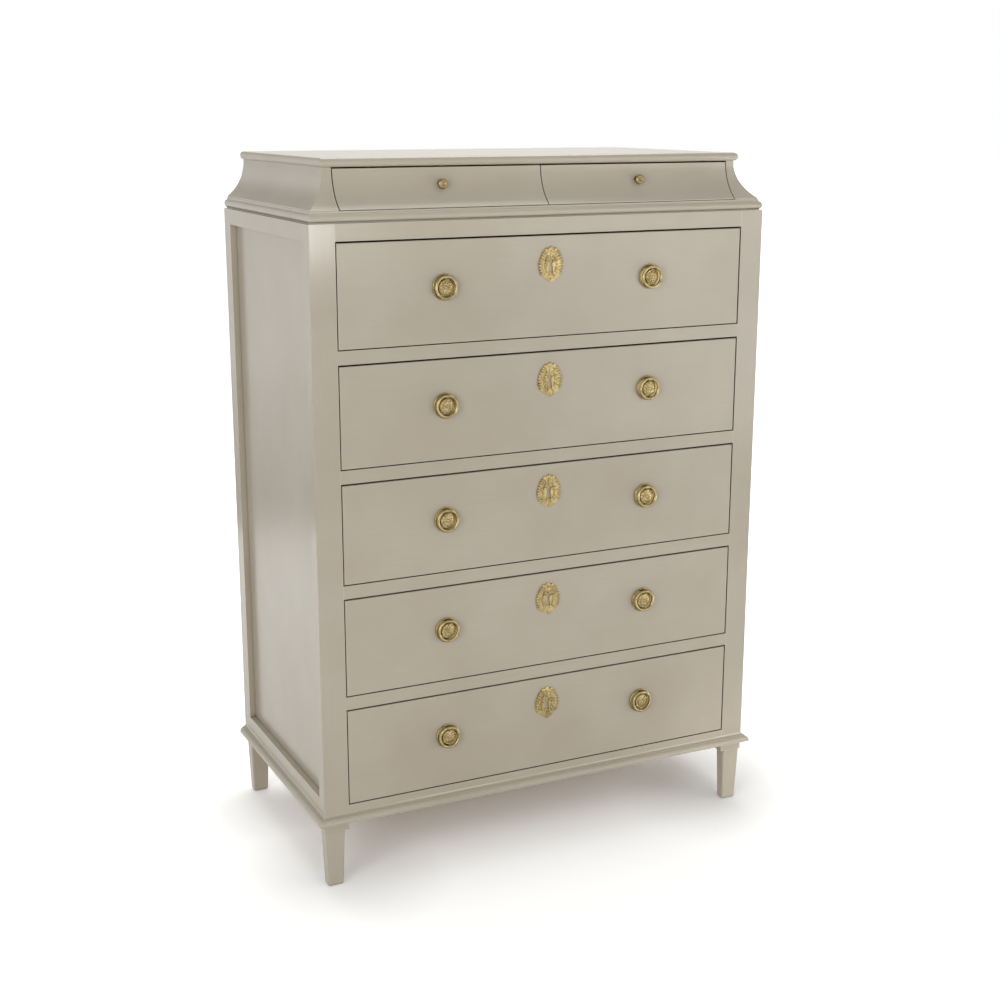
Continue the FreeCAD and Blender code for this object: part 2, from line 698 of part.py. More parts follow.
def shield_face(arcs, side_margin, end_margin, lobe_depth):
    """A shield outlined by equal arcs whose ends are drawn in by the depth of a lobe."""
    step = 2 * math.pi / arcs
    start = shield_point(0, side_margin + lobe_depth, end_margin + lobe_depth)
    steps = []
    for number in range(arcs):
        middle = shield_point((number + 0.5) * step, side_margin, end_margin)
        end = shield_point((number + 1) * step, side_margin + lobe_depth, end_margin + lobe_depth)
        steps.append((middle, end))
    steps[-1] = (steps[-1][0], start)
    return face_of(plate_section, start, *steps)


def plate_section(across, up):
    """A point in the plane of a drawer's face."""
    return Vector(across, 0, up)


def keyhole():
    """A round hole over a slot, through the whole plate."""
    depth = ESCUTCHEON_THICKNESS + FIELD_HEIGHT
    round_part = Part.makeCylinder(KEYHOLE_RADIUS, depth, Vector(0, -depth, KEYHOLE_RISE), BACK)
    slot = box(-KEYHOLE_SLOT / 2, KEYHOLE_SLOT / 2, -depth, 0, KEYHOLE_RISE - KEYHOLE_LENGTH, KEYHOLE_RISE)
    return round_part.fuse(slot)


def tack(up):
    """A round-headed tack through the plate into the drawer front."""
    seat = Vector(0, -ESCUTCHEON_THICKNESS, up)
    head = Part.makeCylinder(TACK_HEAD_RADIUS, TACK_HEAD_HEIGHT, seat, BACK * -1)
    shank = Part.makeCylinder(TACK_RADIUS, TACK_LENGTH, seat, BACK)
    return head.fuse(shank)


def escutcheon():
    """The cast plate with its raised field, pierced by the keyhole, and its two tacks."""
    plate = shield_face(2 * ESCUTCHEON_LOBES, 0, 0, LOBE_DEPTH).extrude(BACK * -ESCUTCHEON_THICKNESS)
    field = shield_face(FIELD_ARCS, FIELD_SIDE_MARGIN, FIELD_END_MARGIN, 0)
    field = field.extrude(BACK * -(ESCUTCHEON_THICKNESS + FIELD_HEIGHT))
    tack_up = ESCUTCHEON_HEIGHT / 2 - LOBE_DEPTH - TACK_MARGIN
    tacks = [tack(tack_up), tack(-tack_up)]
    return cut_by(plate.fuse(field), tacks + [keyhole()]), tacks


# Small knobs, modelled about the place where the axis meets the drawer's hollow face

def knob_stud(depth):
    """The threaded stud behind a knob, through a drawer front of some depth."""
    return Part.makeCylinder(BOLT_RADIUS, depth + NUT_HEIGHT + BOLT_TIP, Vector(0, 0, 0), BACK)


def knob_head():
    """The turned knob: a flange, a neck and a rounded head with a dimple in its face."""
    flange_front = KNOB_FLANGE_THICKNESS
    neck_front = flange_front + KNOB_NECK_LENGTH
    head_front = neck_front + KNOB_HEAD_LENGTH
    head_middle = (neck_front + head_front) / 2
    return turned(
        turning_section,
        (0, -KNOB_FLANGE_RADIUS),
        ((KNOB_FLANGE_RADIUS, -KNOB_FLANGE_RADIUS),),
        ((KNOB_FLANGE_RADIUS, flange_front),),
        ((KNOB_NECK_RADIUS, flange_front),),
        ((KNOB_NECK_RADIUS, neck_front),),
        ((KNOB_RADIUS, head_middle), (KNOB_DIMPLE_RADIUS, head_front)),
        ((0, head_front - KNOB_DIMPLE_DEPTH),),
    )


# Whole drawers

def long_front():
    """A long drawer's front, with the edges of its face eased."""
    board = box(-FRONT_HALF, FRONT_HALF, 0, FRONT_THICKNESS, BOTTOM_GAP, FRONT_TOP)
    face_edges = [edge for edge in board.Edges if edge.BoundBox.YMax < FRONT_EDGE_RADIUS]
    return board.makeFillet(FRONT_EDGE_RADIUS, face_edges)


def placed(shapes, x, z):
    """Copies of some pieces, moved across a drawer's face."""
    return [shape.translated(Vector(x, 0, z)) for shape in shapes]


def build_long_drawers():
    """Every long drawer: front, box, bottom, pull plates, rings and escutcheon."""
    sides, back, bottom = drawer_box(-FRONT_HALF, FRONT_HALF, FRONT_THICKNESS, DRAWER_REAR,
                                     SIDE_HEIGHT, SIDE_TAILS)
    knuckle = pull_knuckle()
    pull = [cut_by(pull_plate(), [knuckle]), knuckle, nut(FRONT_THICKNESS, PIN_RISE, bolt_hole())]
    places = (("left", -PULL_SPACING / 2), ("right", PULL_SPACING / 2))
    plate, tacks = escutcheon()
    escutcheon_up = FRONT_MIDDLE + ESCUTCHEON_RISE
    tacks = placed(tacks, 0, escutcheon_up)
    holes = [hole for name, x in places for hole in placed([bolt_hole()], x, PULL_LEVEL)]
    front = cut_by(long_front(), sides + [bottom] + holes + tacks)
    pieces = {
        "front": [front],
        "box": [cut_by(side, [back, bottom]) for side in sides] + [back],
        "bottom": [bottom],
        "pull_plates": [piece for name, x in places for piece in placed(pull, x, PULL_LEVEL)],
        "escutcheon": placed([plate], 0, escutcheon_up) + tacks,
    }
    for name, x in places:
        pieces["ring_" + name] = placed([pull_ring()], x, PULL_LEVEL)
    for number in range(1, DRAWER_COUNT + 1):
        for name, shapes in pieces.items():
            save("drawer_%d_%s" % (number, name), placed(shapes, 0, opening_level(number)))


def build_small_drawers():
    """The right small drawer in the coved stage, and its mirror image on the left."""
    inner = MIDDLE_GAP / 2
    outer = CHEEK_INNER - SIDE_GAP
    box_inner = DIVIDER_THICKNESS / 2 + SIDE_GAP
    sides, back, bottom = drawer_box(box_inner, outer, SMALL_FRONT_BACK, SMALL_DRAWER_REAR,
                                     SMALL_SIDE_HEIGHT, SMALL_SIDE_TAILS)
    sides = placed(sides, 0, DECK_TOP)
    back, bottom = placed([back, bottom], 0, DECK_TOP)
    whole_face = swept(cove_face(front_section, SMALL_FRONT_BACK), RIGHT, inner, outer)
    front = whole_face.common(box(inner, outer, 0, SMALL_FRONT_BACK,
                                  DECK_TOP + SMALL_BOTTOM_GAP, COVE_TOP - SMALL_TOP_GAP))
    knob_level = DECK_TOP + KNOB_HEIGHT
    knob_x = (inner + outer) / 2
    axis = Part.makeLine(Vector(knob_x, 0, knob_level), Vector(knob_x, SMALL_FRONT_BACK, knob_level))
    seat = min(vertex.Y for vertex in axis.common(front).Vertexes)
    depth = SMALL_FRONT_BACK - seat
    place = Vector(knob_x, seat, knob_level)
    stud = knob_stud(depth).translated(place)
    front = cut_by(front, sides + [bottom, stud])
    knob = cut_by(knob_head().translated(place), [front]).fuse(stud).removeSplitter()
    pieces = {
        "front": [front],
        "box": [cut_by(side, [back, bottom]) for side in sides] + [back],
        "bottom": [bottom],
        "knob": [knob, nut(depth, 0, knob_stud(depth)).translated(place)],
    }
    for name, shapes in pieces.items():
        save("small_drawer_right_" + name, shapes)
        save("small_drawer_left_" + name, [mirrored(shape) for shape in shapes])


os.makedirs("parts", exist_ok=True)
build_case()
build_stage()
build_long_drawers()
build_small_drawers()
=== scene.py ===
import math
import bmesh
import bpy
from mathutils import Matrix, Vector


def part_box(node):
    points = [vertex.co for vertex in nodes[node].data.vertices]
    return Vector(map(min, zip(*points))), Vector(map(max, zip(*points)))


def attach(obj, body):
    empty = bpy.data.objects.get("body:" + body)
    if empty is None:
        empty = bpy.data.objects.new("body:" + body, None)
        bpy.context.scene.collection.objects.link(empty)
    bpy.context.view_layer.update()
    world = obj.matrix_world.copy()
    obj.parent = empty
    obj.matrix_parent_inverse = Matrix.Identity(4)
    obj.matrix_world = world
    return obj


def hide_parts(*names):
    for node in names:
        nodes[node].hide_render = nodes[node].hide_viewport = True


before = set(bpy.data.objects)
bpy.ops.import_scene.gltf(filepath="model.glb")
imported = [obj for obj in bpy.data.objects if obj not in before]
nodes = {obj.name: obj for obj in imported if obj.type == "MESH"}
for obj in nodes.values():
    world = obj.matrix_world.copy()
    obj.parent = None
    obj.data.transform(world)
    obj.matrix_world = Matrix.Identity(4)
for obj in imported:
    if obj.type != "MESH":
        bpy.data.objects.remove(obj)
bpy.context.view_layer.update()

# A tall painted chest with antique brass hardware. Metres, in the frame of the solids: x to the right,
# the face of the chest towards -y, z up from the floor. Turns, slopes and beams are in degrees.
MM = 0.001
SIDES = ("left", "right")
LONG_DRAWERS = ["drawer_%d" % number for number in range(1, 6)]
SMALL_DRAWERS = ["small_drawer_" + side for side in SIDES]

# Camera, at the photograph's viewing angle
CAMERA_PLACE = (-1.2893, -2.6862, 1.3855)
CAMERA_TILT = 75.777
CAMERA_ROLL = -0.066
CAMERA_TURN = -25.896
CAMERA_LENS = 55.833
CAMERA_SENSOR = 36.0

# Colours as they are seen, red, green and blue out of 255
PAINT = (178, 169, 152)
PAINT_SHADE = (172, 162, 145)
# Paint rubbed lighter on edges: partly wear, partly a painted highlight
PAINT_WORN_AND_HIGHLIT = (206, 199, 185)
# Painted shade laid in corners, on paint and on bare wood
PAINTED_CORNER_SHADE = (112, 101, 84)
# Painted shade, near black, in the gaps between drawers and case
GAP_SHADE = (24, 20, 15)
DRAWER_WOOD = (206, 176, 132)
DRAWER_WOOD_GRAIN = (168, 130, 84)
BACK_BOARD = (186, 154, 112)
BACK_BOARD_GRAIN = (146, 112, 74)
BRASS = (138, 121, 83)
BRASS_BRIGHT = (172, 156, 112)
BRASS_TARNISH = (52, 35, 12)
KNOB_BRASS = (124, 108, 78)
GILT = (140, 122, 83)
GILT_BRIGHT = (176, 159, 115)
GILT_TARNISH = (84, 60, 24)
SCREW_STEEL = (150, 150, 148)
SCREW_STEEL_DARK = (96, 95, 92)
FLOOR_PALE = (236, 236, 234)

# White light, as a shader takes it
WHITE = (1.0, 1.0, 1.0, 1.0)

# Directions that a brush or the grain runs in: a small number stretches the pattern along that axis
FINE = 26.0
EVEN = (1.0, 1.0, 1.0)
ACROSS = (1.0, FINE, FINE)
LEVEL = (1.0, 1.0, FINE)
UPRIGHT = (FINE, FINE, 1.0)
DEEP = (FINE, 1.0, FINE)

# Uneven patterns: scale, detail and roughness
BRUSH_STROKES = (11.0, 5.0, 0.62)
PAINT_MOTTLE = (7.0, 3.0, 0.5)
PAINT_SPECKS = (420.0, 2.0, 0.5)
WOOD_FIGURE = (5.0, 6.0, 0.66)
WOOD_PORES = (9.0, 3.0, 0.7)
BRASS_CLOUDS = (120.0, 4.0, 0.6)
BRASS_GRIT = (900.0, 2.0, 0.5)
LATHE_MARKS = (700.0, 3.0, 0.5)
OIL_FILM = (90.0, 2.0, 0.5)
FLOOR_MOTTLE = (3.0, 2.0, 0.5)
PORE_FINENESS = 6

# Sheen, as the roughness of a finish: where it is smoothest, and how much rougher its pattern makes it
SATIN = 0.22
STILE_SATIN = 0.13
COVE_SATIN = 0.18
SATIN_SPREAD = 0.025
BRASS_POLISH = 0.24
GILT_POLISH = 0.26
POLISH_SPREAD = 0.14

# Relief of a finish: how strongly it shows, how deep it is, and what the finer pattern adds to its height
BRUSH_RELIEF = 0.06
STILE_BRUSH_RELIEF = 0.12
COVE_BRUSH_RELIEF = 0.30
BRUSH_DEPTH = 0.16 * MM
SPECK_HEIGHT = 0.22
GRAIN_RELIEF = 0.30
GRAIN_DEPTH = 0.15 * MM
CASTING_RELIEF = 0.22
CASTING_DEPTH = 0.10 * MM
GRIT_HEIGHT = 0.3
LATHE_RELIEF = 0.2
LATHE_DEPTH = 0.05 * MM

# How far out of corners and gaps a darker colour reaches: painted shade on paint and wood, patina in brass
# hollows
CORNER_SHADE_REACH = 8 * MM
FILLET_REACH = 3 * MM
GAP_REACH = 8 * MM
WOOD_CORNER_REACH = 10 * MM
PULL_HOLLOW_REACH = 4 * MM
KNOB_HOLLOW_REACH = 5 * MM
GILT_HOLLOW_REACH = 2 * MM
CORNER_SAMPLES = 6

# Edges that are rubbed bright, on the paint partly wear and partly a painted highlight: their width, and the
# cosines between which this goes from none to full
PAINT_WORN_AND_HIGHLIT_EDGE = 1.6 * MM
BRASS_RUBBED_EDGE = 0.5 * MM
BRASS_RUBBED_SHARE = 0.6
RUBBED_NONE = 0.99
RUBBED_FULL = 0.80
RUBBED_SAMPLES = 4

# Faces that look to the back of the chest: the cosines between which bare wood takes the place of paint
BACK_NONE = 0.90
BACK_FULL = 0.95

# The Mix node has a set of sockets for each kind of data under the same names. These are those for colours.
MIX_AMOUNT = 0
MIX_FIRST = 6
MIX_SECOND = 7
MIX_RESULT = 2

# Leaves of the cast ornament: a leaf's size is its width, half its thickness and its length. The tip and
# the rib are shares of these.
LEAF_SEGMENTS = 12
LEAF_RINGS = 8
LEAF_TIP = 0.55
LOBE_TIP = 0.85
LEAF_NARROWED_FROM = 0.12
LEAF_NARROWED_TO = 0.49
LEAF_RIB = 0.30
LEAF_RIB_HALF_WIDTH = 0.02
LEAF_RIB_START = 0.3

# Rosette on a pull, about the middle of the plate's back: x across, z up, out towards -y
ROSETTE_LEAVES = 10
ROSETTE_LEAF = (4.4 * MM, 1.3 * MM, 8.6 * MM)
ROSETTE_LEAF_MIDDLE = 7.2 * MM
ROSETTE_LEAF_OUT = 8.7 * MM
ROSETTE_LEAF_SLOPE = 10.7
ROSETTE_RIM_RADIUS = 12.4 * MM
ROSETTE_RIM_WIRE = 0.9 * MM
ROSETTE_RIM_OUT = 7.7 * MM
ROSETTE_RIM_SEGMENTS = 48
ROSETTE_WIRE_SEGMENTS = 8
BUTTON_RADIUS = 2.5 * MM
BUTTON_OUT = 9.3 * MM
BUTTON_FLATNESS = 0.6
BUTTON_SEGMENTS = 16
BUTTON_RINGS = 8

# Key plate, a shield about the middle of its back. Turns go clockwise from its crest, and margins go in
# from its edge.
KEY_PLATE_HALF_WIDTH = 25.8 * MM
KEY_PLATE_HALF_HEIGHT = 32.2 * MM
KEY_PLATE_POINT = 2.05
KEY_PLATE_SHOULDER = 1.12
KEY_PLATE_SHOULDER_SLOPE = 0.66
KEY_PLATE_THICKNESS = 1.4 * MM
KEY_PLATE_POINTS = 120
EDGE_LEAVES = 9
EDGE_LEAF = (5.0 * MM, 1.6 * MM, 6.8 * MM)
EDGE_LEAF_MARGIN = 3.3 * MM
EDGE_FIRST_TURN = 41
EDGE_LAST_TURN = 124
PLAIN_EDGE_TURN = 140
CREST_LEAF = (8.8 * MM, 1.8 * MM, 11.4 * MM)
CREST_MARGIN = 5.6 * MM
CREST_TURNS = (-23, 23, 0)
BERRIES = 9
BERRY_RADIUS = 1.9 * MM
BERRY_MARGIN = 8.2 * MM
BERRY_FIRST_TURN = 24
BERRY_LAST_TURN = 146
SCROLLS = 6
SCROLL_LEAF = (4.2 * MM, 2.1 * MM, 6.2 * MM)
SCROLL_MARGIN = 14.0 * MM
SCROLL_FIRST_TURN = 50
SCROLL_LAST_TURN = 148
SCROLL_LEAN = 50
RAYS = 5
RAY_LEAF = (4.0 * MM, 1.7 * MM, 10.0 * MM)
RAY_MARGIN = 16.0 * MM
RAY_LAST_TURN = 64
FIELD_OUT = 1.9 * MM
FIELD_SHARE = 0.86
TACK_RADIUS = 1.7 * MM
TACK_UP = 25.2 * MM

# Keyhole, from the middle of the key plate: a round head, a waist and a foot, and the wire rim round them
KEYHOLE_RADIUS = 3.5 * MM
KEYHOLE_HEAD_TURN = 135
KEYHOLE_HEAD_STEPS = 10
KEYHOLE_RISE = 5.4 * MM
KEYHOLE_HALF_WAIST = 2.4 * MM
KEYHOLE_WAIST_DROP = 6.0 * MM
KEYHOLE_HALF_FOOT = 3.7 * MM
KEYHOLE_LENGTH = 18.0 * MM
KEYHOLE_RIM = 0.7 * MM
KEYHOLE_RIM_LENGTHENED = 1.06
KEYHOLE_RIM_ROUNDNESS = 3
KEYHOLE_CUTTER_DEPTH = 4 * KEYHOLE_RADIUS

# Turns between two faces past which the edge between them stays sharp
SHARP_TURN = 40
WIRE_SHARP_TURN = 50

# Floor: its glow by the distance in metres, to the eye from the line under the chest where its shadow, partly
# painted into the glow, is deepest, and in the sheen of the paint from the middle of the chest, a painted
# reflection
FLOOR_SIZE = 60.0
FLOOR_SQUARES = 4
FLOOR_REACH = 8.0
FLOOR_SEEN = (
    (0.0, 0.08), (0.10, 0.15), (0.30, 0.46), (0.40, 0.52), (0.52, 0.53), (1.1, 0.75), (1.8, 1.0),
)
FLOOR_IN_SHEEN = (
    (0.0, 0.35), (0.8, 0.35), (1.8, 0.80), (2.4, 0.85), (2.55, 0.0), (3.8, 0.35), (6.4, 0.85),
)
FLOOR_SHADOW_MIDDLE = (0.05, 0.0, 0.0)
FLOOR_SHADOW_HALF_LENGTH = (0.27, 0.0, 0.0)

# Painted soft shadow round each foot: the place of a foot from the middle, the glow taken away there, and its
# reach
FOOT_PLACE = (0.43, 0.22, 0.0)
FOOT_SHADOW = 0.20
FOOT_SHADOW_REACH = 0.22

# Light from all round, and a dark doorway behind the chest that shows only in sheen: its direction, the
# cosines of the angles where it starts and is darkest, and how much light is left there
WORLD_LIGHT = 0.32
DOORWAY = (0.0, 0.91, 0.42)
DOORWAY_START = 0.93
DOORWAY_DARKEST = 0.985
DOORWAY_SHADE = 0.30

# Soft lamps: place, aim, power in watts, size across and down
LAMPS = {
    "window_left": ((-2.85, -2.3, 1.55), (0.0, 0.0, 0.70), 51.0, (1.8, 2.2)),
    "fill_right": ((2.1, -2.6, 0.95), (0.2, -0.2, 0.50), 16.0, (1.6, 1.7)),
    "low_right": ((1.8, -0.9, 0.14), (0.43, -0.24, 0.08), 6.0, (0.6, 0.22)),
    "low_front": ((-0.3, -3.0, 0.75), (0.0, -0.24, 1.25), 4.5, (1.4, 0.8)),
    "ceiling": ((0.2, 1.2, 3.5), (0.0, 0.1, 1.2), 65.0, (3.0, 2.4)),
    "card_in_front": ((0.51, -3.1, 0.98), (-0.43, -0.24, 1.17), 2.2, (0.25, 0.25)),
}

# Spots: place, aim, power in watts, beam up and down, and how many times wider it is across
SPOTS = {
    "spot_on_small_drawers": ((-0.9, -2.9, 1.22), (0.24, -0.24, 1.235), 45.0, 6.0, 8.0),
    "spot_low_on_right": ((0.1, -3.0, 0.35), (0.42, -0.24, 0.07), 66.0, 10.0, 1.0),
}
SPOT_RADIUS = 0.08
SPOT_SOFTNESS = 1.0


def seen(colour):
    """A colour written as it is seen, turned by the sRGB curve into the amounts of light a shader takes."""
    parts = []
    for value in colour:
        share = value / 255
        parts.append(share / 12.92 if share <= 0.04045 else ((share + 0.055) / 1.055) ** 2.4)
    return (*parts, 1.0)


class Nodes:
    """A tree of shader nodes, and short ways to add to it."""

    def __init__(self, tree):
        self.tree = tree
        tree.nodes.clear()

    def set(self, socket, value):
        """Joins a socket to another node's output, or sets it to a plain value."""
        if isinstance(value, bpy.types.NodeSocket):
            self.tree.links.new(value, socket)
        else:
            socket.default_value = value

    def add(self, kind, sockets, **settings):
        """A node of some kind with its settings and sockets filled in."""
        node = self.tree.nodes.new("ShaderNode" + kind)
        for name, value in settings.items():
            setattr(node, name, value)
        for name, value in sockets.items():
            self.set(node.inputs[name], value)
        return node

    def span(self, value, low, high, to_low=0.0, to_high=1.0):
        """A grey value, moved from one range to another and held inside it."""
        sockets = {"Value": value, "From Min": low, "From Max": high, "To Min": to_low, "To Max": to_high}
        return self.add("MapRange", sockets).outputs["Result"]

    def number(self, operation, first, second):
        """What an operation makes of two numbers."""
        node = self.add("Math", {}, operation=operation)
        self.set(node.inputs[0], first)
        self.set(node.inputs[1], second)
        return node.outputs[0]

    def vector(self, operation, first, second=(0, 0, 0)):
        """What an operation makes of vectors: a number for a length or a dot product, else a vector."""
        node = self.add("VectorMath", {}, operation=operation)
        self.set(node.inputs[0], first)
        self.set(node.inputs[1], second)
        return node.outputs["Value" if operation in ("LENGTH", "DOT_PRODUCT") else "Vector"]


class Finish(Nodes):
    """A material made of patterns that stay still on the piece."""

    def __init__(self, name):
        self.material = bpy.data.materials.new(name)
        self.material.use_nodes = True
        super().__init__(self.material.node_tree)
        self.surface = self.add("BsdfPrincipled", {})
        self.add("OutputMaterial", {"Surface": self.surface.outputs["BSDF"]})
        self.coordinates = self.add("TexCoord", {}).outputs
        self.place = self.coordinates["Object"]

    def noise(self, pattern, stretch=EVEN):
        """An uneven grey pattern, drawn out along the small numbers of stretch."""
        scale, detail, rough = pattern
        stretched = self.add("Mapping", {"Vector": self.place, "Scale": stretch}).outputs[0]
        sockets = {"Vector": stretched, "Scale": scale, "Detail": detail, "Roughness": rough}
        return self.add("TexNoise", sockets).outputs["Fac"]

    def mix(self, amount, first, second):
        """One colour turning into another as the amount goes from 0 to 1."""
        node = self.add("Mix", {}, data_type="RGBA")
        self.set(node.inputs[MIX_AMOUNT], amount)
        self.set(node.inputs[MIX_FIRST], first)
        self.set(node.inputs[MIX_SECOND], second)
        return node.outputs[MIX_RESULT]

    def edges(self, width):
        """Grey that rises to 1 along sharp edges."""
        eased = self.add("Bevel", {"Radius": width}, samples=RUBBED_SAMPLES).outputs["Normal"]
        flat = self.add("NewGeometry", {}).outputs["True Normal"]
        return self.span(self.vector("DOT_PRODUCT", eased, flat), RUBBED_NONE, RUBBED_FULL)

    def facing_back(self):
        """1 on faces that look straight to the back of the chest, else 0."""
        facing = self.add("SeparateXYZ", {"Vector": self.coordinates["Normal"]}).outputs["Y"]
        return self.span(facing, BACK_NONE, BACK_FULL)

    def shade_and_patina_in_corners(self, tone, colour, reach, shut, clear, most=1.0, own=False):
        """A tone with another colour laid in corners and gaps, perhaps only in those of the piece itself:
        painted shade on paint and wood, patina in the hollows of brass.

        There is most of it where the openness is down to shut, and none where it is up to clear.
        """
        settings = {"samples": CORNER_SAMPLES, "only_local": own}
        openness = self.add("AmbientOcclusion", {"Distance": reach}, **settings).outputs["AO"]
        amount = self.span(openness, shut, clear, to_low=most, to_high=0.0)
        return self.mix(amount, tone, seen(colour))

    def ramp(self, value, stops, reach):
        """A grey value that changes with a distance, through stops of distance and grey up to the reach."""
        node = self.add("ValToRGB", {"Fac": self.span(value, 0.0, reach)})
        points = node.color_ramp.elements
        while len(points) < len(stops):
            points.new(1.0)
        for point, (distance, grey) in zip(points, stops):
            point.position = distance / reach
            point.color = (grey, grey, grey, 1.0)
        return node.outputs["Color"]

    def bump(self, height, strength, depth):
        """A normal that follows a grey height."""
        return self.add("Bump", {"Height": height, "Strength": strength, "Distance": depth}).outputs["Normal"]

    def shade(self, **sockets):
        """Fills in the surface shader: Base_Color stands for the socket named Base Color."""
        for name, value in sockets.items():
            self.set(self.surface.inputs[name.replace("_", " ")], value)
        return self.material


def wood_tone(finish, grain, colour, grain_colour):
    """The colours of planed wood: its long figure and fine pores, and the figure and pores themselves."""
    figure = finish.noise(WOOD_FIGURE, grain)
    pores = finish.noise(WOOD_PORES, tuple(PORE_FINENESS * part for part in grain))
    tone = finish.mix(finish.span(figure, 0.36, 0.78), seen(colour), seen(grain_colour))
    tone = finish.mix(finish.span(pores, 0.58, 0.74, to_high=0.5), tone, seen(grain_colour))
    return tone, figure, pores


def painted(name, strokes, satin=SATIN, relief=BRUSH_RELIEF, drawer_front=False):
    """Satin paint laid on by brush: faint strokes, a soft mottle, edges rubbed lighter, partly wear and
    partly a painted highlight, painted shade in corners and near-black painted shade in gaps.

    A drawer's front is bare on its back, inside the drawer, and takes no painted corner shade from its brass.
    """
    finish = Finish(name)
    stroke = finish.noise(BRUSH_STROKES, strokes)
    mottle = finish.noise(PAINT_MOTTLE)
    speck = finish.noise(PAINT_SPECKS)
    tone = finish.mix(finish.span(mottle, 0.34, 0.70), seen(PAINT), seen(PAINT_SHADE))
    tone = finish.mix(finish.span(stroke, 0.42, 0.70, to_high=0.30), tone, seen(PAINT_SHADE))
    # Painted shade: a darker colour laid in corners and fillets by their openness
    tone = finish.shade_and_patina_in_corners(tone, PAINTED_CORNER_SHADE, CORNER_SHADE_REACH, 0.30, 0.85, most=0.55, own=drawer_front)
    tone = finish.shade_and_patina_in_corners(tone, PAINTED_CORNER_SHADE, FILLET_REACH, 0.35, 0.75, most=0.45, own=drawer_front)
    # Edges rubbed lighter: partly wear, partly a painted highlight
    patches = finish.span(mottle, 0.40, 0.62, to_low=0.10, to_high=0.75)
    worn_and_highlit = finish.number("MULTIPLY", finish.edges(PAINT_WORN_AND_HIGHLIT_EDGE), patches)
    tone = finish.mix(worn_and_highlit, tone, seen(PAINT_WORN_AND_HIGHLIT))
    # Painted shade: near black in the gaps
    tone = finish.shade_and_patina_in_corners(tone, GAP_SHADE, GAP_REACH, 0.08, 0.30)
    if drawer_front:
        wood = wood_tone(finish, strokes, DRAWER_WOOD, DRAWER_WOOD_GRAIN)[0]
        tone = finish.mix(finish.facing_back(), tone, wood)
    height = finish.number("ADD", stroke, finish.number("MULTIPLY", speck, SPECK_HEIGHT))
    return finish.shade(
        Base_Color=tone,
        Roughness=finish.span(stroke, 0.30, 0.72, to_low=satin, to_high=satin + SATIN_SPREAD),
        Normal=finish.bump(height, relief, BRUSH_DEPTH),
    )


def bare_wood(name, grain, colour, grain_colour):
    """Planed wood under a thin sealer: long grain, fine pores and painted shade in its corners."""
    finish = Finish(name)
    tone, figure, pores = wood_tone(finish, grain, colour, grain_colour)
    # Painted shade darkens the corners of the wood
    return finish.shade(
        Base_Color=finish.shade_and_patina_in_corners(tone, PAINTED_CORNER_SHADE, WOOD_CORNER_REACH, 0.30, 0.90, most=0.45),
        Roughness=finish.span(figure, 0.3, 0.7, to_low=0.48, to_high=0.62),
        Normal=finish.bump(finish.number("ADD", figure, pores), GRAIN_RELIEF, GRAIN_DEPTH),
    )


def aged_brass(name, colour, bright, tarnish, polish, hollow_reach):
    """Cast brass, lacquered and aged: dark in the hollows, bright where fingers rub it."""
    finish = Finish(name)
    cloud = finish.noise(BRASS_CLOUDS)
    grit = finish.noise(BRASS_GRIT)
    tone = finish.mix(finish.span(cloud, 0.36, 0.66), seen(colour), seen(bright))
    tone = finish.shade_and_patina_in_corners(tone, tarnish, hollow_reach, 0.22, 0.74)
    rubbed = finish.number("MULTIPLY", finish.edges(BRASS_RUBBED_EDGE), BRASS_RUBBED_SHARE)
    tone = finish.mix(rubbed, tone, seen(bright))
    height = finish.number("ADD", cloud, finish.number("MULTIPLY", grit, GRIT_HEIGHT))
    return finish.shade(
        Base_Color=tone,
        Metallic=1.0,
        Roughness=finish.span(cloud, 0.30, 0.70, to_low=polish, to_high=polish + POLISH_SPREAD),
        Normal=finish.bump(height, CASTING_RELIEF, CASTING_DEPTH),
    )


def turned_steel():
    """Screws with the marks of the lathe and a dull oil film."""
    finish = Finish("turned_steel")
    marks = finish.noise(LATHE_MARKS)
    film = finish.noise(OIL_FILM)
    return finish.shade(
        Base_Color=finish.mix(finish.span(film, 0.35, 0.7), seen(SCREW_STEEL), seen(SCREW_STEEL_DARK)),
        Metallic=1.0,
        Roughness=finish.span(marks, 0.3, 0.7, to_low=0.32, to_high=0.5),
        Normal=finish.bump(marks, LATHE_RELIEF, LATHE_DEPTH),
    )


def dress(material, *names):
    """Gives pieces of the frame their finish."""
    for name in names:
        mesh = nodes[name].data
        mesh.materials.clear()
        mesh.materials.append(material)


def dress_case(ply):
    """The case: paint outside, bare wood inside and behind."""
    runner_birch = bare_wood("runner_birch", DEEP, DRAWER_WOOD, DRAWER_WOOD_GRAIN)
    dress(painted("paint_across", ACROSS), "top_board")
    dress(painted("paint_level", LEVEL), "front_rails", "frame_rails", "waist_moulding", "base_moulding")
    dress(painted("paint_upright", UPRIGHT), "side_panels", "feet")
    dress(painted("paint_stile", UPRIGHT, STILE_SATIN, STILE_BRUSH_RELIEF), "front_stiles", "back_stiles")
    dress(painted("paint_cove", UPRIGHT, COVE_SATIN, COVE_BRUSH_RELIEF), "cove_cheeks")
    dress(runner_birch, "drawer_runners", "drawer_guides", "drawer_stops", "upper_divider")
    dress(ply, "upper_deck")
    dress(bare_wood("back_board", UPRIGHT, BACK_BOARD, BACK_BOARD_GRAIN), "back_panels")
    dress(turned_steel(), "back_screws")


